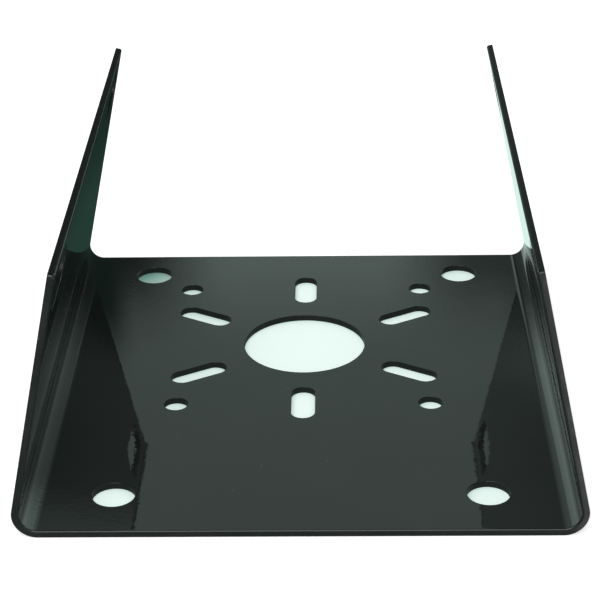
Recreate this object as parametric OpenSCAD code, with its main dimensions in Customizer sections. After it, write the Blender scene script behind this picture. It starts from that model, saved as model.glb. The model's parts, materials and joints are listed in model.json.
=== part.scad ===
// Camera pole mount bracket: one punched steel sheet, folded into a channel.
// The plate lies flat with its underside at z = 0, the flanges stand on its left and right edges
// and lean in over it, and +Y is the plate's back edge.

/* [Sheet] */
// Thickness of the steel sheet
sheet_t = 2.66; // [1.5:0.01:4]
// Inside radius of both folds
bend_r = 6.35; // [3:0.05:10]

/* [Plate and flanges] */
// Length of the plate, along the pole
plate_len = 226.6; // [215:0.1:320]
// Width between the flanges' inner faces, where they would meet the plate's upper face
inside_w = 203.2; // [190:0.1:300]
// Height of the flanges' free edges above the plate's underside
flange_h = 105; // [80:0.1:160]
// Angle by which each flange leans in from upright
lean = 12; // [0:0.5:20]
// Radius of the flanges' free corners
corner_r = 1.6; // [1:0.1:8]

/* [Strap slots in the flanges] */
// Width of a strap slot
strap_w = 14; // [5:0.1:16]
// Overall length of a strap slot
strap_len = 35; // [20:0.1:42]
// Distance from the free edge to the middle of a strap slot
strap_drop = 13.4; // [12:0.1:24]
// Distance from the flange's end to the middle of a strap slot
strap_end = 25.4; // [24:0.1:60]

/* [Corner holes] */
// Diameter of the four corner holes
corner_d = 15.9; // [6:0.1:18]
// Distance between the corner holes across the plate
corner_x = 137.8; // [125:0.1:150]
// Distance between the corner holes along the plate
corner_y = 182.8; // [170:0.1:185]
// Distance from the back edge to the back pair of corner holes
corner_back = 19.8; // [15:0.1:24]

/* [Camera hole pattern] */
// Distance from the back edge to the middle of the camera pattern
pattern_back = 85.6; // [76:0.1:100]
// Diameter of the cable hole in the middle
cable_d = 50.8; // [30:0.1:60]
// Side of the square on which the four small holes lie
small_sq = 101.6; // [96:0.1:110]
// Diameter of the small holes
small_d = 9.5; // [4:0.1:12]
// Distance from the middle to the middle of each radial slot
radial_r = 50; // [48:0.1:54]
// Overall length of a radial slot
radial_len = 24.4; // [14:0.1:27]
// Width of a radial slot
radial_w = 9.5; // [4:0.1:12]
// Number of radial slots
radial_count = 6; // [3:1:6]

/* [Hidden] */
$fn = 96;

// How far a punch passes through the sheet on each side
punch_pass = 5;
// How far an arc stands proud of the flats that it runs into, so that it ends on a clean edge
run_out = 0.002;

// Half the width of the plate's flat, between the two folds, each turned by 90 degrees and the lean
flat_half = inside_w / 2 - bend_r * tan((90 + lean) / 2);
// Height of the folds' centre lines above the underside
bend_z = sheet_t + bend_r;
// Outside radius of both folds
bend_outer_r = bend_r + sheet_t;
// Length of a flange's flat, from the end of the fold to the free edge
flange_flat = (flange_h - bend_z - bend_outer_r * sin(lean)) / cos(lean);
// Middles of the two hole patterns along the plate
pattern_y = plate_len / 2 - pattern_back;
corner_mid_y = plate_len / 2 - corner_back - corner_y / 2;

// A point of the section, from the right fold's centre: r out from it, and v up along the flange
function by_flange(r, v) = [
    flat_half + r * cos(lean) - v * sin(lean),
    bend_z + r * sin(lean) + v * cos(lean)
];

// The same point on the left
function mirrored(p) = [-p.x, p.y];

// All of the section inside the sheet's face at radius r, up to v along the flanges
module inside_face(r, v) {
    right = [[flat_half, bend_z - r], by_flange(r, 0), by_flange(r, v), by_flange(0, v)];
    left = [for (i = [3 : -1 : 0]) mirrored(right[i])];
    polygon(concat(right, left));
    for (side = [-1, 1])
        translate([side * flat_half, bend_z])
            circle(r = r + run_out);
}

// Section through the folded sheet, with X across and Y up
module sheet_section() {
    difference() {
        inside_face(bend_outer_r, flange_flat);
        inside_face(bend_r, flange_flat + punch_pass);
    }
}

// The folded sheet before punching
module folded_sheet() {
    rotate([90, 0, 0])
        linear_extrude(plate_len, center = true)
            sheet_section();
}

// A round-ended slot along X
module slot(len, width) {
    straight = len - width;
    square([straight, width], center = true);
    for (side = [-1, 1])
        translate([side * straight / 2, 0])
            circle(d = width);
}

// One hole at each corner of a rectangle
module hole_rectangle(size_x, size_y, hole_d) {
    for (side_x = [-1, 1], side_y = [-1, 1])
        translate([side_x * size_x / 2, side_y * size_y / 2])
            circle(d = hole_d);
}

// Cable hole, small holes and radial slots round the middle of the camera pattern
module camera_pattern() {
    circle(d = cable_d);
    hole_rectangle(small_sq, small_sq, small_d);
    for (i = [0 : radial_count - 1])
        rotate(90 + i * 360 / radial_count)
            translate([radial_r, 0])
                slot(radial_len, radial_w);
}

// Everything punched out of the plate
module plate_punch() {
    translate([0, 0, -punch_pass])
        linear_extrude(sheet_t + 2 * punch_pass) {
            translate([0, corner_mid_y])
                hole_rectangle(corner_x, corner_y, corner_d);
            translate([0, pattern_y])
                camera_pattern();
        }
}

// What is cut off a flange's free corner at its back end, to round it
module corner_cut() {
    translate([plate_len / 2 - corner_r, flange_flat - corner_r])
        difference() {
            square(corner_r + punch_pass);
            translate([run_out, run_out])
                circle(r = corner_r);
        }
}

// Everything punched out of the right flange: a strap slot and a rounded corner at each end
module flange_punch() {
    translate([flat_half, 0, bend_z])
        rotate([0, -lean, 0])
            translate([bend_r - punch_pass, 0, 0])
                rotate([90, 0, 90])
                    linear_extrude(sheet_t + 2 * punch_pass)
                        for (side = [0, 1])
                            mirror([side, 0]) {
                                translate([plate_len / 2 - strap_end, flange_flat - strap_drop])
                                    slot(strap_len, strap_w);
                                corner_cut();
                            }
}

module bracket() {
    color([0.1, 0.12, 0.115])
        difference() {
            folded_sheet();
            plate_punch();
            for (side = [0, 1])
                mirror([side, 0, 0])
                    flange_punch();
        }
}

bracket();
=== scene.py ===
"""Camera pole mount bracket: one punched steel sheet, folded into a channel and painted gloss black.

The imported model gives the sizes, and this script builds the painted sheet in its place, with the rounded
edges that paint leaves, the paint itself, a pale floor and soft studio light.
"""

import json
import logging
import math
from dataclasses import dataclass
from enum import Enum
from typing import Any, Callable, Optional, Union

import bpy
from mathutils import Matrix, Vector


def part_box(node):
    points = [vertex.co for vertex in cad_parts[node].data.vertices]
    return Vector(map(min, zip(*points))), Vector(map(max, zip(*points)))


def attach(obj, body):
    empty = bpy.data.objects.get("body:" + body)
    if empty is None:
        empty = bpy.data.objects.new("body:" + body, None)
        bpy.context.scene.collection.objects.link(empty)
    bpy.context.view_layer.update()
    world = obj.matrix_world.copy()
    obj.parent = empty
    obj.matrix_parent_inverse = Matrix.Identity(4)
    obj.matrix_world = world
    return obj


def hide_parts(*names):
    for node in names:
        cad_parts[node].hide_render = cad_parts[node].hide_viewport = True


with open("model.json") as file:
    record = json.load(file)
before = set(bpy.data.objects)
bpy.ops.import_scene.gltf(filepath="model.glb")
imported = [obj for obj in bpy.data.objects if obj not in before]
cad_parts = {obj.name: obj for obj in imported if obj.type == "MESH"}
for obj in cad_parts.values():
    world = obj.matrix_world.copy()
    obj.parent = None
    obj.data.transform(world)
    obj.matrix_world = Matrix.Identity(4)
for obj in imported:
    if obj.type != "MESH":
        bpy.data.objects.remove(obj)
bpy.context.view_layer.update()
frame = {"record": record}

log = logging.getLogger("bracket")

MM = 0.001
NODE = "bracket"
BODY = "root"
CUT_EDGE = "cut_edge"
FREE_EDGE = "free_edge"

Colour = tuple[float, float, float]
Point = tuple[float, float, float]
Socket = bpy.types.NodeSocket
Value = Union[float, Colour, Socket]

BLACK: Colour = (0.0, 0.0, 0.0)
WHITE: Colour = (1.0, 1.0, 1.0)


class Side(Enum):
    """The two flanges, by the sign of X."""

    LEFT = -1
    RIGHT = 1


class End(Enum):
    """The two ends of the plate, by the sign of Y."""

    FRONT = -1
    BACK = 1


class Blend(Enum):
    """What a Mix node mixes: its data type, and the type of its sockets."""

    NUMBERS = ("FLOAT", "VALUE")
    COLOURS = ("RGBA", "RGBA")


@dataclass(frozen=True)
class Step:
    """A smooth step from one value to another.

    Attributes:
        start: Where the step begins.
        end: Where it ends.
        low: The value up to the start.
        high: The value from the end on.
    """

    start: float
    end: float
    low: float = 0.0
    high: float = 1.0


def mount(name: str) -> dict[str, Any]:
    """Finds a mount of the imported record.

    Args:
        name: The mount's name.

    Returns:
        The mount's entry, with its place in metres and its dimensions in millimetres.
    """
    return next(entry for entry in frame["record"]["mounts"] if entry["name"] == name)


def deselect_all() -> None:
    """Leaves object mode with nothing selected."""
    if bpy.context.object and bpy.context.object.mode != "OBJECT":
        bpy.ops.object.mode_set(mode="OBJECT")
    bpy.ops.object.select_all(action="DESELECT")


def make_active(piece: bpy.types.Object) -> None:
    """Makes a piece the only selected object, and the active one.

    Args:
        piece: The object that the next operators act on.
    """
    deselect_all()
    piece.select_set(True)
    bpy.context.view_layer.objects.active = piece


def pick(piece: bpy.types.Object, test: Callable[[Vector], bool]) -> None:
    """Selects the vertices that pass a test, with the edges and faces between them, in edit mode.

    Args:
        piece: The active mesh object, in edit mode.
        test: Says whether the vertex at this place is taken.
    """
    bpy.ops.object.mode_set(mode="OBJECT")
    mesh = piece.data
    taken = [test(vertex.co) for vertex in mesh.vertices]
    for vertex in mesh.vertices:
        vertex.select = taken[vertex.index]
    for edge in mesh.edges:
        edge.select = all(taken[index] for index in edge.vertices)
    for face in mesh.polygons:
        face.select = all(taken[index] for index in face.vertices)
    bpy.ops.object.mode_set(mode="EDIT")
    bpy.ops.mesh.select_mode(type="VERT")


def apply_modifier(piece: bpy.types.Object, kind: str, **settings: Any) -> None:
    """Adds a modifier to the active piece and applies it.

    Args:
        piece: The active object, in object mode.
        kind: The modifier's type, such as BEVEL.
        settings: The modifier's own properties.
    """
    modifier = piece.modifiers.new(kind.lower(), kind)
    for name, value in settings.items():
        setattr(modifier, name, value)
    bpy.ops.object.modifier_apply(modifier=modifier.name)


@dataclass(frozen=True)
class Punch:
    """One tool that cuts a round hole or a round-ended slot through the sheet.

    Attributes:
        place: The middle of the hole, in metres.
        turn: The tool's turn about X, Y and Z, from standing along Z with a slot lying along Y.
        width: The hole's diameter, or the slot's width.
        length: The slot's overall length, or the same as the width for a round hole.
        sides: Number of sides round the tool. It isn't a multiple of four, so a slot's two ends part
            between two sides.
        reach: Length of the tool through the sheet.
    """

    place: Vector
    turn: Point
    width: float
    length: float
    sides: int = 66
    reach: float = 12 * MM

    def tool(self) -> bpy.types.Object:
        """Models the tool where it cuts.

        Returns:
            A closed mesh object that stands through the sheet.
        """
        deselect_all()
        bpy.ops.mesh.primitive_cylinder_add(vertices=self.sides, radius=self.width / 2, depth=self.reach)
        tool = bpy.context.object
        half_straight = (self.length - self.width) / 2
        if half_straight > 0:
            bpy.ops.object.mode_set(mode="EDIT")
            for end in End:
                pick(tool, lambda place: place.y * end.value > 0)
                bpy.ops.transform.translate(value=(0, end.value * half_straight, 0))
            bpy.ops.object.mode_set(mode="OBJECT")
        tool.rotation_euler = self.turn
        tool.location = self.place
        bpy.ops.object.transform_apply(location=True, rotation=True, scale=True)
        return tool


@dataclass
class Bracket:
    """The folded and punched sheet.

    The plate lies flat on the floor, and the flanges stand on its left and right edges and lean in.
    Sizes are in metres and radians.

    Attributes:
        length: Length of the plate along Y.
        half_width: Half the width over the folds.
        height: Height of the flanges' free edges.
        sheet: Thickness of the sheet.
        fold_radius: Inside radius of both folds.
        lean: Angle by which the flanges lean in from upright.
        corner_radius: Radius of the flanges' free corners.
        strap_width: Width of the strap slots in the flanges.
        strap_length: Overall length of the strap slots.
        strap_end: Distance from a flange's end to the middle of a strap slot.
        rim_radius: Radius of the inner face's outline, which the shears rolled over.
        cut_radius: Radius that paint leaves on every other edge.
        radial_count: Number of radial slots round the large hole.
        fold_steps: Number of flat strips in a fold.
        corner_steps: Number of flat strips round a free corner.
        edge_steps: Number of flat strips round an eased edge.
        cable_sides: Number of sides round the large hole.
        sharp_angle: Angle from which an edge is eased.
        smooth_angle: Angle up to which the shading is smooth.
        face_weight: Weight of large faces in the shading.
    """

    length: float
    half_width: float
    height: float
    sheet: float
    fold_radius: float = 6.35 * MM
    lean: float = math.radians(12)
    corner_radius: float = 1.6 * MM
    strap_width: float = 14 * MM
    strap_length: float = 35 * MM
    strap_end: float = 25.4 * MM
    rim_radius: float = 0.85 * MM
    cut_radius: float = 0.22 * MM
    radial_count: int = 6
    fold_steps: int = 36
    corner_steps: int = 12
    edge_steps: int = 4
    cable_sides: int = 162
    sharp_angle: float = math.radians(40)
    smooth_angle: float = math.radians(35)
    face_weight: int = 100

    @classmethod
    def from_frame(cls) -> "Bracket":
        """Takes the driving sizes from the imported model.

        Returns:
            The bracket, ready to build.
        """
        low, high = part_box(NODE)
        return cls(
            length=high[1] - low[1],
            half_width=(high[0] - low[0]) / 2,
            height=high[2] - low[2],
            sheet=mount("cable_hole")["dims"]["length_mm"] * MM,
        )

    @property
    def outer_radius(self) -> float:
        """Outside radius of both folds."""
        return self.fold_radius + self.sheet

    @property
    def flat_half(self) -> float:
        """Half the width of the plate's flat, between the folds."""
        return self.half_width - self.outer_radius

    @property
    def flange_flat(self) -> float:
        """Length of a flange's flat, from the end of the fold to the free edge."""
        rise = self.height - self.outer_radius - self.outer_radius * math.sin(self.lean)
        return rise / math.cos(self.lean)

    @property
    def up_flange(self) -> Vector:
        """Direction up along the right flange."""
        return Vector((-math.sin(self.lean), 0, math.cos(self.lean)))

    @property
    def out_flange(self) -> Vector:
        """Direction out of the right flange's outer face."""
        return Vector((math.cos(self.lean), 0, math.sin(self.lean)))

    @property
    def fold_end(self) -> Vector:
        """Middle of the line where the right fold's inner face runs into the flange."""
        return Vector((self.flat_half, 0, self.outer_radius)) + self.out_flange * self.fold_radius

    def plate_punches(self) -> list[Punch]:
        """Lists the holes in the plate.

        Returns:
            The cable hole, the corner and small holes, and the radial slots.
        """
        cable = mount("cable_hole")
        centre = Vector(cable["pos_m"])
        bore = 2 * cable["dims"]["r_mm"] * MM
        upright = (0, 0, 0)
        punches = [Punch(centre, upright, bore, bore, self.cable_sides)]
        for pattern in (mount("corner_holes"), mount("small_holes")):
            sizes = pattern["dims"]
            width = 2 * sizes["hole_r_mm"] * MM
            half = Vector((sizes["spacing_x_mm"], sizes["spacing_y_mm"], 0)) * MM / 2
            for side in Side:
                for end in End:
                    step = Vector((side.value * half.x, end.value * half.y, 0))
                    punches.append(Punch(Vector(pattern["pos_m"]) + step, upright, width, width))
        radial = mount("radial_slots_on_centre_line")["dims"]
        width = 2 * radial["hole_r_mm"] * MM
        out = Vector((0, radial["spacing_y_mm"] * MM / 2, 0))
        for index in range(self.radial_count):
            angle = index * math.tau / self.radial_count
            place = centre + Matrix.Rotation(angle, 3, "Z") @ out
            punches.append(Punch(place, (0, 0, angle), width, radial["slot_length_mm"] * MM))
        return punches

    def strap_punches(self) -> list[Punch]:
        """Lists the strap slots.

        Returns:
            Two slots in each flange, one near each end.
        """
        middle_z = mount("strap_slots")["pos_m"][2]
        up = (middle_z - self.fold_end.z) / math.cos(self.lean)
        middle = self.fold_end + self.up_flange * up
        turn = math.pi / 2 - self.lean
        along = self.length / 2 - self.strap_end
        return [
            Punch(
                Vector((side.value * middle.x, end.value * along, middle.z)),
                (0, side.value * turn, 0),
                self.strap_width,
                self.strap_length,
            )
            for side in Side
            for end in End
        ]

    def fold_half(self) -> bpy.types.Object:
        """Folds the right half of the sheet's inner face out of a plane.

        Returns:
            An open sheet without thickness, from the middle of the plate to the flange's free edge.
        """
        deselect_all()
        bpy.ops.mesh.primitive_plane_add(size=1)
        piece = bpy.context.object
        piece.name = "painted_bracket"
        bpy.ops.object.mode_set(mode="EDIT")
        bpy.ops.transform.resize(value=(self.flat_half, self.length, 1), center_override=(0, 0, 0))
        bpy.ops.transform.translate(value=(self.flat_half / 2, 0, self.sheet))
        pick(piece, lambda place: place.x > self.flat_half / 2)
        bpy.ops.mesh.spin(
            steps=self.fold_steps,
            angle=math.pi / 2 + self.lean,
            center=(self.flat_half, 0, self.outer_radius),
            axis=(0, 1, 0),
        )
        near_fold_end = self.sheet / 10
        end = self.fold_end
        pick(piece, lambda place: (Vector((place.x, 0, place.z)) - end).length < near_fold_end)
        rise = self.up_flange * self.flange_flat
        bpy.ops.mesh.extrude_region_move(TRANSFORM_OT_translate={"value": rise})
        top = (end + rise).z - near_fold_end
        pick(piece, lambda place: place.z > top)
        bpy.ops.mesh.bevel(affect="VERTICES", offset=self.corner_radius, segments=self.corner_steps)
        bpy.ops.object.mode_set(mode="OBJECT")
        return piece

    def thicken(self, piece: bpy.types.Object) -> None:
        """Mirrors the folded half, and gives the sheet its thickness below and outside its inner face.

        Args:
            piece: The folded half.
        """
        make_active(piece)
        near = self.sheet / 100
        apply_modifier(piece, "MIRROR", use_axis=(True, False, False), merge_threshold=near)
        bpy.ops.object.mode_set(mode="EDIT")
        bpy.ops.mesh.select_all(action="SELECT")
        bpy.ops.mesh.remove_doubles(threshold=near)
        bpy.ops.mesh.normals_make_consistent(inside=False)
        bpy.ops.object.mode_set(mode="OBJECT")
        plate = min(piece.data.polygons, key=lambda face: abs(face.center.x) + face.center.z)
        if plate.normal.z < 0:
            piece.data.flip_normals()
        apply_modifier(piece, "SOLIDIFY", thickness=self.sheet, offset=-1, use_even_offset=True)

    def punch(self, piece: bpy.types.Object) -> None:
        """Cuts every hole and slot out of the sheet.

        Args:
            piece: The folded sheet, with its thickness.
        """
        tools = [punch.tool() for punch in self.plate_punches() + self.strap_punches()]
        deselect_all()
        for tool in tools:
            tool.select_set(True)
        bpy.context.view_layer.objects.active = tools[0]
        bpy.ops.object.join()
        make_active(piece)
        apply_modifier(piece, "BOOLEAN", operation="DIFFERENCE", solver="EXACT", object=tools[0])
        bpy.data.objects.remove(tools[0])

    def from_fold(self, place: Vector) -> Vector:
        """Measures a place from the centre line of the fold on its side, with X away from the middle."""
        return Vector((abs(place.x) - self.flat_half, 0, place.z - self.outer_radius))

    def through_sheet(self, place: Vector) -> Vector:
        """Finds the direction through the sheet's thickness, as if on the right side.

        Args:
            place: A point of the sheet.

        Returns:
            The direction out of the outer face: down on the plate, radial in a fold, and square to a flange.
        """
        out = self.from_fold(place)
        if out.x <= 0 and out.z < 0:
            return Vector((0, 0, -1))
        if out.dot(self.up_flange) > 0:
            return self.out_flange
        return out.normalized()

    def on_rim(self, place: Vector) -> bool:
        """Says whether an edge lies on the outline of the sheet's inner face.

        Args:
            place: The middle of the edge.

        Returns:
            Whether it does.
        """
        near = self.sheet / 10
        depth = self.from_fold(place).dot(self.through_sheet(place)) - self.fold_radius
        at_end = abs(place.y) > self.length / 2 - self.corner_radius - near
        return depth < near and (at_end or place.z > self.height - self.sheet)

    def ease_edges(self, piece: bpy.types.Object) -> None:
        """Rounds every edge as shears and paint leave it, and smooths the shading.

        Args:
            piece: The punched sheet.
        """
        make_active(piece)
        bpy.ops.object.shade_smooth()
        bpy.ops.object.mode_set(mode="EDIT")
        bpy.ops.mesh.select_mode(type="EDGE")
        bpy.ops.mesh.select_all(action="DESELECT")
        bpy.ops.mesh.edges_select_sharp(sharpness=self.sharp_angle)
        bpy.ops.object.mode_set(mode="OBJECT")
        mesh = piece.data
        weights = mesh.attributes.new("bevel_weight_edge", "FLOAT", "EDGE")
        for edge in mesh.edges:
            if edge.select:
                first, second = (mesh.vertices[index].co for index in edge.vertices)
                rim = self.on_rim((first + second) / 2)
                weights.data[edge.index].value = 1 if rim else self.cut_radius / self.rim_radius
        apply_modifier(
            piece,
            "BEVEL",
            width=self.rim_radius,
            segments=self.edge_steps,
            limit_method="WEIGHT",
            use_clamp_overlap=False,
            loop_slide=False,
        )
        bpy.ops.object.shade_smooth_by_angle(angle=self.smooth_angle)
        apply_modifier(piece, "WEIGHTED_NORMAL", keep_sharp=True, weight=self.face_weight)

    def mark_edges(self, piece: bpy.types.Object) -> None:
        """Marks the faces where the sheet was cut, and those of them that look up along a flange.

        Args:
            piece: The finished sheet.
        """
        mesh = piece.data
        cuts = mesh.attributes.new(CUT_EDGE, "FLOAT", "FACE")
        free = mesh.attributes.new(FREE_EDGE, "FLOAT", "FACE")
        for face in mesh.polygons:
            side = math.copysign(1, face.center.x)
            normal = Vector((side * face.normal.x, face.normal.y, face.normal.z))
            cut = 1 - abs(normal.dot(self.through_sheet(face.center)))
            cuts.data[face.index].value = cut
            free.data[face.index].value = cut * max(0, normal.dot(self.up_flange))

    def build(self) -> bpy.types.Object:
        """Builds the whole sheet.

        Returns:
            One closed mesh object at the origin.
        """
        piece = self.fold_half()
        self.thicken(piece)
        self.punch(piece)
        self.ease_edges(piece)
        self.mark_edges(piece)
        return piece

    def dress(self, piece: bpy.types.Object, finish: "GlossPaint") -> None:
        """Paints the sheet, hangs it on its body, and hides the imported part that it stands for.

        Args:
            piece: The finished sheet.
            finish: Its paint.
        """
        piece.data.materials.clear()
        piece.data.materials.append(finish.material())
        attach(piece, BODY)
        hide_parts(NODE)


class Nodes:
    """Adds nodes to a material's or a world's tree and links them."""

    def __init__(self, tree: bpy.types.NodeTree) -> None:
        """Takes a tree and empties it."""
        self.tree = tree
        tree.nodes.clear()

    def add(self, kind: str, sockets: Optional[dict[str, Value]] = None, **settings: Any) -> bpy.types.Node:
        """Adds one node.

        Args:
            kind: The node's type name, without the prefix ShaderNode.
            sockets: What goes into the node's inputs, by name: a number, a colour or another node's output.
            settings: The node's own properties.

        Returns:
            The new node.
        """
        node = self.tree.nodes.new("ShaderNode" + kind)
        for name, value in settings.items():
            setattr(node, name, value)
        for name, value in (sockets or {}).items():
            self.put(node.inputs[name], value)
        return node

    def put(self, socket: Socket, value: Value) -> None:
        """Links an output to a socket, or sets a constant on it.

        Args:
            socket: The input to fill.
            value: Another node's output, a number, or a colour or vector of three.
        """
        if isinstance(value, bpy.types.NodeSocket):
            self.tree.links.new(value, socket)
        elif isinstance(value, tuple) and socket.type == "RGBA":
            socket.default_value = (*value, 1)
        else:
            socket.default_value = value

    def math(self, operation: str, first: Value, second: Value = 0.0, clamp: bool = False) -> Socket:
        """Adds a Math node.

        Args:
            operation: The node's operation, such as MULTIPLY.
            first: The first input.
            second: The second input.
            clamp: Whether the result is kept between 0 and 1.

        Returns:
            The node's output.
        """
        node = self.add("Math", operation=operation, use_clamp=clamp)
        self.put(node.inputs[0], first)
        self.put(node.inputs[1], second)
        return node.outputs[0]

    def ramp(self, value: Socket, step: Step) -> Socket:
        """Adds a smooth step.

        Args:
            value: What the step depends on.
            step: Its ends, and the values below and above them.

        Returns:
            The step's output.
        """
        sockets = {
            "Value": value,
            "From Min": step.start,
            "From Max": step.end,
            "To Min": step.low,
            "To Max": step.high,
        }
        return self.add("MapRange", sockets, interpolation_type="SMOOTHSTEP").outputs["Result"]

    def blend(self, share: Value, first: Value, second: Value, kind: Blend = Blend.COLOURS) -> Socket:
        """Adds a Mix node.

        Args:
            share: How much of the second value is taken, from 0 to 1.
            first: The first value.
            second: The second value.
            kind: Whether numbers or colours are mixed.

        Returns:
            The mixed value.
        """
        data_type, socket_type = kind.value
        node = self.add("Mix", data_type=data_type)
        self.put(node.inputs[0], share)
        for name, value in (("A", first), ("B", second)):
            self.put(next(s for s in node.inputs if s.name == name and s.type == socket_type), value)
        return next(s for s in node.outputs if s.type == socket_type)

    def switch(self, choice: Socket, no: Socket, yes: Socket) -> Socket:
        """Picks one of two shaders, or mixes them.

        Args:
            choice: 1 for yes and 0 for no.
            no: The shader for 0.
            yes: The shader for 1.

        Returns:
            The picked shader.
        """
        mix = self.add("MixShader")
        for index, value in enumerate((choice, no, yes)):
            self.put(mix.inputs[index], value)
        return mix.outputs[0]

    def noise(self, place: Socket, grain: float, detail: float) -> bpy.types.Node:
        """Adds a noise texture.

        Args:
            place: The coordinates.
            grain: Size of the noise's largest features, in metres.
            detail: Number of finer layers.

        Returns:
            The node. Its outputs are about 0.5 on average.
        """
        return self.add("TexNoise", {"Vector": place, "Scale": 1 / grain, "Detail": detail})


@dataclass(frozen=True)
class GlossPaint:
    """Gloss black paint, sprayed on steel.

    Attributes:
        colour: The paint's own colour.
        thin_colour: Its colour where the film is thinner.
        free_edge_shade_colour: Its colour on the flanges' free edges, darker than the paint: painted shade.
        dust_colour: Colour of the specks of dust in it.
        thin_film: Where the film is thinner, by a noise.
        film_grain: Size of the patches of thinner film.
        film_detail: Number of finer layers in them.
        index: The film's index of refraction.
        roughness: Roughness of the rolled faces, by a noise.
        cut_roughness: Roughness of the cut edges, by the same noise.
        free_roughness: Roughness of the flanges' free edges.
        dust_roughness: What a speck of dust adds to the roughness.
        haze_grain: Size of the patches of duller film.
        haze_detail: Number of finer layers in them.
        on_cut: How the film changes towards a cut edge, by the edge's mark.
        peel_grain: Size of the film's orange peel.
        peel_slope: Steepness of the orange peel.
        smoothing: How much of the orange peel and the waves is left, by the height above the underside.
        wave_grain: Size of the film's long waves.
        wave_slope: Steepness of the long waves.
        surface_detail: Number of finer layers in the orange peel and in the waves.
        dust_cell: Side of the cells of which some hold a speck.
        dust_size: Diameter of a speck.
        dust_share: Share of the cells that hold one.
        dust_bend: How far a noise bends the specks.
        dust_bend_grain: Size of that noise.
        dust_bend_detail: Number of finer layers in it.
    """

    colour: Colour = (0.0112, 0.0135, 0.0128)
    thin_colour: Colour = (0.0135, 0.0162, 0.0154)
    free_edge_shade_colour: Colour = (0.006, 0.0072, 0.0068)
    dust_colour: Colour = (0.09, 0.11, 0.1)
    thin_film: Step = Step(0.35, 0.7)
    film_grain: float = 38 * MM
    film_detail: float = 3.0
    index: float = 1.5
    roughness: Step = Step(0.4, 0.75, 0.02, 0.032)
    cut_roughness: Step = Step(0.35, 0.65, 0.16, 0.55)
    free_roughness: float = 0.15
    dust_roughness: float = 0.5
    haze_grain: float = 9 * MM
    haze_detail: float = 4.0
    on_cut: Step = Step(0.1, 0.9)
    peel_grain: float = 1.5 * MM
    peel_slope: float = 0.0055
    smoothing: Step = Step(2.8 * MM, 4.5 * MM, 1.0, 0.03)
    wave_grain: float = 22 * MM
    wave_slope: float = 0.0008
    surface_detail: float = 1.0
    dust_cell: float = 10 * MM
    dust_size: float = 0.8 * MM
    dust_share: float = 0.6
    dust_bend: float = 0.9 * MM
    dust_bend_grain: float = 3 * MM
    dust_bend_detail: float = 2.0

    def material(self) -> bpy.types.Material:
        """Makes the paint's material.

        Returns:
            A material that reads Object coordinates and the marks on the sheet's edges.
        """
        material = bpy.data.materials.new("gloss_black_paint")
        material.use_nodes = True
        nodes = Nodes(material.node_tree)
        place = nodes.add("TexCoord").outputs["Object"]
        dust = self.dust(nodes, place)
        free = nodes.add("Attribute", attribute_name=FREE_EDGE).outputs["Fac"]
        patches = nodes.noise(place, self.film_grain, self.film_detail).outputs["Fac"]
        film = nodes.ramp(patches, self.thin_film)
        clean = nodes.blend(film, self.colour, self.thin_colour)
        # Painted shade: the flanges' free edges take a darker colour than the rest of the paint
        clean = nodes.blend(free, clean, self.free_edge_shade_colour)
        paint = nodes.add("BsdfPrincipled", {
            "Base Color": nodes.blend(dust, clean, self.dust_colour),
            "Roughness": self.film_roughness(nodes, place, free, dust),
            "IOR": self.index,
            "Normal": self.film_normal(nodes, place),
        })
        nodes.add("OutputMaterial", {"Surface": paint.outputs["BSDF"]})
        return material

    def film_roughness(self, nodes: Nodes, place: Socket, free: Socket, dust: Socket) -> Socket:
        """Works out the film's roughness.

        Args:
            nodes: The material's nodes.
            place: Object coordinates.
            free: 1 on the flanges' free edges and 0 elsewhere.
            dust: 1 on a speck of dust and 0 elsewhere.

        Returns:
            The roughness: slightly hazy in patches, patchy on the cut edges, even on the free ones, and dull
            on dust.
        """
        patches = nodes.noise(place, self.haze_grain, self.haze_detail).outputs["Fac"]
        cut = nodes.ramp(nodes.add("Attribute", attribute_name=CUT_EDGE).outputs["Fac"], self.on_cut)
        rolled = nodes.ramp(patches, self.roughness)
        film = nodes.blend(cut, rolled, nodes.ramp(patches, self.cut_roughness), Blend.NUMBERS)
        film = nodes.blend(free, film, self.free_roughness, Blend.NUMBERS)
        return nodes.math("ADD", film, nodes.math("MULTIPLY", dust, self.dust_roughness))

    def film_normal(self, nodes: Nodes, place: Socket) -> Socket:
        """Bends the film's surface by long waves and by orange peel, both weaker above the plate.

        Args:
            nodes: The material's nodes.
            place: Object coordinates.

        Returns:
            The bent normal.
        """
        height = nodes.add("SeparateXYZ", {"Vector": place}).outputs["Z"]
        strength = nodes.ramp(height, self.smoothing)
        wave = nodes.add("Bump", {
            "Strength": strength,
            "Distance": self.wave_slope * self.wave_grain,
            "Height": nodes.noise(place, self.wave_grain, self.surface_detail).outputs["Fac"],
        })
        peel = nodes.add("Bump", {
            "Strength": strength,
            "Distance": self.peel_slope * self.peel_grain,
            "Height": nodes.noise(place, self.peel_grain, self.surface_detail).outputs["Fac"],
            "Normal": wave.outputs["Normal"],
        })
        return peel.outputs["Normal"]

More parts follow.
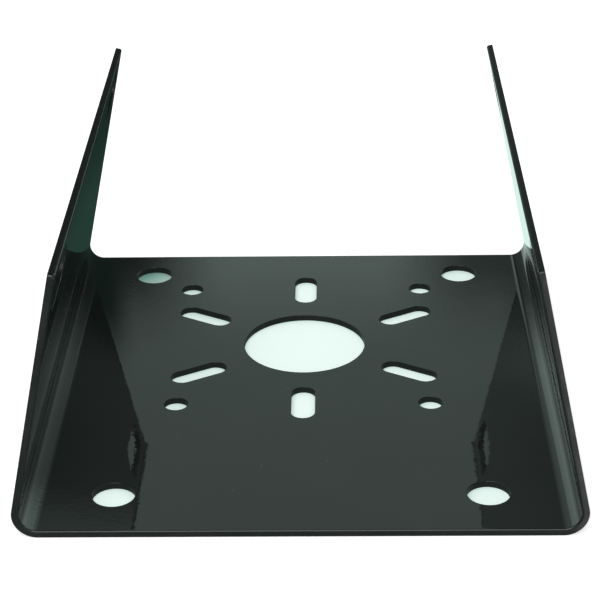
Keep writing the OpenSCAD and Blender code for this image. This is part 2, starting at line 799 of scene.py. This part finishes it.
    def dust(self, nodes: Nodes, place: Socket) -> Socket:
        """Scatters specks of dust.

        Args:
            nodes: The material's nodes.
            place: Object coordinates.

        Returns:
            1 on a speck and 0 elsewhere.
        """
        shift = nodes.noise(place, self.dust_bend_grain, self.dust_bend_detail)
        scaled = nodes.add("VectorMath", {"Scale": self.dust_bend}, operation="SCALE")
        nodes.put(scaled.inputs[0], shift.outputs["Color"])
        bent = nodes.add("VectorMath", operation="ADD")
        nodes.put(bent.inputs[0], place)
        nodes.put(bent.inputs[1], scaled.outputs["Vector"])
        cells = nodes.add("TexVoronoi", {"Vector": bent.outputs["Vector"], "Scale": 1 / self.dust_cell})
        radius = self.dust_size / self.dust_cell / 2
        speck = nodes.ramp(cells.outputs["Distance"], Step(radius / 2, radius, 1.0, 0.0))
        pick_cell = nodes.add("SeparateColor")
        nodes.put(pick_cell.inputs[0], cells.outputs["Color"])
        chosen = nodes.math("LESS_THAN", pick_cell.outputs[0], self.dust_share)
        return nodes.math("MULTIPLY", speck, chosen)


@dataclass(frozen=True)
class PaleFloor:
    """A plain pale floor that shows white to the camera and keeps the object's shadow.

    Attributes:
        half_width: Half the width of the part that the plate covers.
        half_length: Half the length of that part.
        size: Side of the floor.
        drop: Distance below the object's underside.
        colour: Colour of the floor's surface.
        glow: What the open floor shows to the camera and to gloss without light.
        covered_shade_glow: What it shows under the plate: less than the open floor, and mint, a painted
            shade.
        soft: Width over which the covered part begins, under the plate's edge.
        shade: How much is left of the covered part's glow, by the distance from the back left corner.
        shade_colour: Colour of the surface at that corner, a painted shade.
    """

    half_width: float
    half_length: float
    size: float = 8.0
    drop: float = 0.15 * MM
    colour: Colour = (0.92, 0.93, 0.92)
    glow: Colour = (0.52, 0.52, 0.52)
    covered_shade_glow: Colour = (0.22, 0.35, 0.31)
    soft: float = 6 * MM
    shade: Step = Step(12 * MM, 60 * MM)
    shade_colour: Colour = (0.07, 0.42, 0.3)

    def build(self) -> bpy.types.Object:
        """Makes the floor.

        Returns:
            The floor's object.
        """
        deselect_all()
        bpy.ops.mesh.primitive_plane_add(size=self.size, location=(0, 0, -self.drop))
        floor = bpy.context.object
        floor.name = "pale_floor"
        floor.data.materials.append(self.material())
        return floor

    def covered(self, nodes: Nodes, place: Socket) -> Socket:
        """Finds the part of the floor that the plate covers.

        Args:
            nodes: The material's nodes.
            place: Object coordinates.

        Returns:
            1 under the plate and 0 outside.
        """
        parts = nodes.add("SeparateXYZ", {"Vector": place}).outputs
        inside = [
            nodes.ramp(nodes.math("ABSOLUTE", parts[axis]), Step(half - self.soft, half, 1.0, 0.0))
            for axis, half in (("X", self.half_width), ("Y", self.half_length))
        ]
        return nodes.math("MULTIPLY", *inside)

    def material(self) -> bpy.types.Material:
        """Makes the floor's material.

        Returns:
            A matt material, with a white share that the camera and mirrors see.
        """
        material = bpy.data.materials.new("pale_floor")
        material.use_nodes = True
        nodes = Nodes(material.node_tree)
        path = nodes.add("LightPath").outputs
        seen = nodes.math("ADD", path["Is Camera Ray"], path["Is Glossy Ray"])
        seen = nodes.math("ADD", seen, path["Is Transmission Ray"], clamp=True)
        place = nodes.add("TexCoord").outputs["Object"]
        covered = self.covered(nodes, place)
        # Painted shade: towards the back left corner the covered floor glows less and turns dark mint
        corner = nodes.add("VectorMath", operation="DISTANCE")
        nodes.put(corner.inputs[0], place)
        nodes.put(corner.inputs[1], (-self.half_width, self.half_length, 0.0))
        lit = nodes.ramp(corner.outputs["Value"], self.shade)
        # Painted shade: under the plate the floor glows less than the open floor, with a mint tint
        glow = nodes.blend(covered, self.glow, nodes.blend(lit, BLACK, self.covered_shade_glow))
        colour = nodes.blend(covered, self.colour, nodes.blend(lit, self.shade_colour, self.colour))
        white = nodes.add("Emission", {"Color": glow, "Strength": seen})
        matt = nodes.add("BsdfDiffuse", {"Color": colour})
        both = nodes.add("AddShader")
        nodes.put(both.inputs[0], white.outputs[0])
        nodes.put(both.inputs[1], matt.outputs[0])
        nodes.add("OutputMaterial", {"Surface": both.outputs[0]})
        return material


@dataclass(frozen=True)
class Card:
    """A flat glowing card that only gloss sees, a painted reflection, lying level or standing behind the
    object.

    Attributes:
        name: The card's name.
        low: Its corner with the smallest coordinates.
        high: Its corner with the largest ones. It has the same height when the card lies, and the same
            distance back when it stands.
        colour: What it shows.
        fade: Widths over which a standing card fades out, towards its right edge and its upper edge.
    """

    name: str
    low: Point
    high: Point
    colour: Colour
    fade: Optional[tuple[float, float]] = None

    def build(self) -> bpy.types.Object:
        """Sets the card up.

        Returns:
            The card's object.
        """
        deselect_all()
        low, high = Vector(self.low), Vector(self.high)
        size = high - low
        bpy.ops.mesh.primitive_plane_add(size=1, location=(low + high) / 2)
        card = bpy.context.object
        card.name = self.name
        if size.z > size.y:
            card.rotation_euler.x = math.pi / 2
        card.scale = (size.x, max(size.y, size.z), 1)
        card.visible_camera = False
        card.visible_diffuse = False
        card.visible_shadow = False
        card.data.materials.append(self.material())
        return card

    def material(self) -> bpy.types.Material:
        """Makes the card's material.

        Returns:
            A material that glows evenly, and fades out where the card does.
        """
        material = bpy.data.materials.new(self.name)
        material.use_nodes = True
        nodes = Nodes(material.node_tree)
        face = nodes.add("Emission", {"Color": self.colour, "Strength": 1.0}).outputs[0]
        if self.fade:
            position = nodes.add("NewGeometry").outputs["Position"]
            parts = nodes.add("SeparateXYZ", {"Vector": position}).outputs
            edges = (("X", self.high[0]), ("Z", self.high[2]))
            left, below = (
                nodes.ramp(parts[axis], Step(edge - width, edge, 1.0, 0.0))
                for (axis, edge), width in zip(edges, self.fade)
            )
            clear = nodes.add("BsdfTransparent").outputs[0]
            face = nodes.switch(nodes.math("MULTIPLY", left, below), clear, face)
        nodes.add("OutputMaterial", {"Surface": face})
        return material


# Height of the cards that lie between the floor and the object's underside
LAID = -0.05 * MM
# Distance back to the card that stands behind the object
STOOD = 116 * MM
# Height of the strips just above the flanges' free edges, their distance from the middle, and their ends
ABOVE = 106.5 * MM
STRIP_IN = 79.4 * MM
STRIP_OUT = 83.5 * MM
STRIP_FRONT = -114 * MM
STRIP_BACK = 118 * MM
# Painted reflections, glowing cards that only the paint mirrors: dark behind the left flange and mint behind
# the right one, grey in front, under the plate and far behind, dark green behind the left fold, and dark
# strips, a painted shade that keeps the free edges black
CARDS = (
    Card("dark_reflection_card", (-170 * MM, 114 * MM, LAID), (45 * MM, 450 * MM, LAID), (0.012, 0.03, 0.024)),
    Card("mint_reflection_card", (45 * MM, 114 * MM, LAID), (170 * MM, 450 * MM, LAID), (0.72, 0.95, 0.86)),
    Card("front_reflection_card", (-600 * MM, -900 * MM, LAID), (99 * MM, 113 * MM, LAID), (0.16, 0.21, 0.19)),
    Card("far_reflection_card", (-4.0, 450 * MM, LAID), (4.0, 4.0, LAID), (0.2, 0.26, 0.24)),
    # Painted reflection: a dark green card behind the left fold, which only gloss sees
    Card(
        "green_reflection_card",
        (-130 * MM, STOOD, 0.0),
        (-80 * MM, STOOD, 75 * MM),
        (0.022, 0.055, 0.042),
        (14 * MM, 50 * MM),
    ),
    # Painted shade: dark strips just above the free edges, seen only in the paint, keep those edges black
    Card(
        "left_edge_shade_strip",
        (-STRIP_OUT, STRIP_FRONT, ABOVE),
        (-STRIP_IN, STRIP_BACK, ABOVE),
        (0.05, 0.065, 0.06),
    ),
    Card(
        "right_edge_shade_strip",
        (STRIP_IN, STRIP_FRONT, ABOVE),
        (STRIP_OUT, STRIP_BACK, ABOVE),
        (0.1, 0.13, 0.12),
    ),
)


@dataclass(frozen=True)
class Studio:
    """Soft light from all round, with the room that gloss shows.

    A direction's parts are across to the right, back, and up, from -1 to 1.

    Attributes:
        level: Strength of the soft light on matt surfaces.
        tint: Tint of what gloss shows.
        ceiling: Brightness that gloss shows overhead.
        window: Brightness that gloss shows straight behind the object, just under the ceiling.
        middle: Where the middle of the window and the ceiling lies, across.
        left_gap: Brightness between the window and the left side.
        right_gap: Brightness between the window and the right side.
        gap_turn: The turn from the left gap to the right one, across.
        left_side: Brightness on the left, by the part back.
        left_dim: How much of it is left, by the part up.
        left_turn: Where the left side ends, across.
        right_side: Brightness on the right, by the part back.
        right_lamp: What is added to it where it is far from straight back.
        right_turn: Where the right side begins, across.
        window_width: The window, by the distance across from the middle.
        ceiling_width: The ceiling behind the object, by the distance across from the middle.
        window_sill: The window's lower edge, by the part up.
        window_top: The window's upper edge, where the ceiling begins.
        overhead: Where the sides end and the ceiling covers all.
        front: Brightness in front of the object, by the part up.
        behind: The turn from the room in front to the one behind, by the part back.
        lamp_place: The soft lamp above the object, in metres.
        lamp_size: The lamp's two sides.
        lamp_power: The lamp's power.
    """

    level: float = 0.62
    tint: Colour = (0.78, 1.0, 0.925)
    ceiling: float = 0.57
    window: float = 0.8
    middle: float = -0.0167
    left_gap: float = 0.05
    right_gap: float = 0.16
    gap_turn: Step = Step(-0.05, 0.05)
    left_side: Step = Step(0.8655, 0.8905, 1.07, 0.16)
    left_dim: Step = Step(0.385, 0.42, 1.0, 0.5)
    left_turn: Step = Step(-0.17, -0.13, 1.0, 0.0)
    right_side: Step = Step(0.864, 0.888, 0.37, 0.03)
    right_lamp: Step = Step(0.82, 0.836, 0.7, 0.0)
    right_turn: Step = Step(0.1, 0.14)
    window_width: Step = Step(0.037, 0.092, 1.0, 0.0)
    ceiling_width: Step = Step(0.1, 0.13, 1.0, 0.0)
    window_sill: Step = Step(0.412, 0.43)
    window_top: Step = Step(0.429, 0.484)
    overhead: Step = Step(0.6, 0.8)
    front: Step = Step(0.0, 0.6, 0.25, 0.57)
    behind: Step = Step(0.0, 0.35)
    lamp_place: Point = (-0.25, -1.0, 1.15)
    lamp_size: tuple[float, float] = (1.2, 0.8)
    lamp_power: float = 9.0

    def build(self) -> bpy.types.World:
        """Makes the world: white to the camera, a room to gloss, and even light to matt surfaces.

        Returns:
            The world.
        """
        world = bpy.data.worlds.new("studio")
        bpy.context.scene.world = world
        world.use_nodes = True
        nodes = Nodes(world.node_tree)
        path = nodes.add("LightPath").outputs
        mirror = nodes.math("ADD", path["Is Glossy Ray"], path["Is Transmission Ray"], clamp=True)
        matt = nodes.add("Background", {"Color": WHITE, "Strength": self.level})
        gloss = nodes.add("Background", {"Color": self.tint, "Strength": self.room(nodes)})
        white = nodes.add("Background", {"Color": WHITE, "Strength": 1.0})
        lit = nodes.switch(mirror, matt.outputs[0], gloss.outputs[0])
        shown = nodes.switch(path["Is Camera Ray"], lit, white.outputs[0])
        nodes.add("OutputWorld", {"Surface": shown})
        return world

    def room(self, nodes: Nodes) -> Socket:
        """Works out the brightness that gloss shows in each direction.

        Args:
            nodes: The world's nodes.

        Returns:
            The brightness.
        """
        direction = nodes.add("SeparateXYZ", {"Vector": nodes.add("TexCoord").outputs["Generated"]})
        across, back, up = (direction.outputs[name] for name in "XYZ")
        sides = nodes.blend(nodes.ramp(across, self.gap_turn), self.left_gap, self.right_gap, Blend.NUMBERS)
        left = nodes.math("MULTIPLY", nodes.ramp(back, self.left_side), nodes.ramp(up, self.left_dim))
        sides = nodes.blend(nodes.ramp(across, self.left_turn), sides, left, Blend.NUMBERS)
        right = nodes.math("ADD", nodes.ramp(back, self.right_side), nodes.ramp(back, self.right_lamp))
        sides = nodes.blend(nodes.ramp(across, self.right_turn), sides, right, Blend.NUMBERS)
        off_middle = nodes.math("ABSOLUTE", nodes.math("SUBTRACT", across, self.middle))
        in_window = nodes.math(
            "MULTIPLY",
            nodes.ramp(off_middle, self.window_width),
            nodes.ramp(up, self.window_sill),
        )
        over_window = nodes.ramp(up, self.window_top)
        in_ceiling = nodes.ramp(off_middle, self.ceiling_width)
        in_middle = nodes.blend(over_window, in_window, in_ceiling, Blend.NUMBERS)
        middle = nodes.blend(over_window, self.window, self.ceiling, Blend.NUMBERS)
        behind = nodes.blend(in_middle, sides, middle, Blend.NUMBERS)
        behind = nodes.blend(nodes.ramp(up, self.overhead), behind, self.ceiling, Blend.NUMBERS)
        front = nodes.ramp(up, self.front)
        return nodes.blend(nodes.ramp(back, self.behind), front, behind, Blend.NUMBERS)

    def lamp(self) -> bpy.types.Object:
        """Hangs a large soft lamp above the object.

        Returns:
            The lamp.
        """
        deselect_all()
        bpy.ops.object.light_add(type="AREA", location=self.lamp_place)
        lamp = bpy.context.object
        lamp.name = "soft_lamp"
        lamp.data.shape = "RECTANGLE"
        lamp.data.size, lamp.data.size_y = self.lamp_size
        lamp.data.energy = self.lamp_power
        lamp.rotation_euler = (-Vector(self.lamp_place)).to_track_quat("-Z", "Y").to_euler()
        return lamp


@dataclass(frozen=True)
class View:
    """The camera.

    Attributes:
        place: The lens, in metres.
        pitch: Angle by which it looks down.
        yaw: Angle by which it looks to the left of +Y.
        roll: Angle by which it is turned about its own axis.
        lens: Focal length on a sensor of this width, in millimetres.
        sensor: Width of the sensor, in millimetres.
    """

    place: Point = (13.33 * MM, -670.33 * MM, 378.07 * MM)
    pitch: float = math.radians(26.9545)
    yaw: float = math.radians(1.23)
    roll: float = math.radians(-0.9334)
    lens: float = 112.363
    sensor: float = 36.0

    def build(self) -> bpy.types.Object:
        """Makes the camera and takes it for the scene.

        Returns:
            The camera.
        """
        deselect_all()
        bpy.ops.object.camera_add(location=self.place)
        camera = bpy.context.object
        camera.name = "camera"
        camera.data.lens = self.lens
        camera.data.sensor_width = self.sensor
        turn = Matrix.Rotation(self.yaw, 3, "Z") @ Matrix.Rotation(math.pi / 2 - self.pitch, 3, "X")
        camera.rotation_euler = (turn @ Matrix.Rotation(self.roll, 3, "Z")).to_euler()
        bpy.context.scene.camera = camera
        return camera


def main() -> None:
    """Builds the bracket, the floor, the light and the camera."""
    logging.basicConfig(level=logging.INFO)
    bpy.context.scene.view_settings.view_transform = "Standard"
    bracket = Bracket.from_frame()
    piece = bracket.build()
    bracket.dress(piece, GlossPaint())
    log.info("%s: %d faces", piece.name, len(piece.data.polygons))
    floor = PaleFloor(half_width=bracket.flat_half, half_length=bracket.length / 2)
    log.info("%s: laid", floor.build().name)
    for card in CARDS:
        log.info("%s: set up", card.build().name)
    studio = Studio()
    log.info("%s: lit", studio.build().name)
    log.info("%s: hung", studio.lamp().name)
    log.info("%s: set up", View().build().name)


if __name__ == "__main__":
    main()
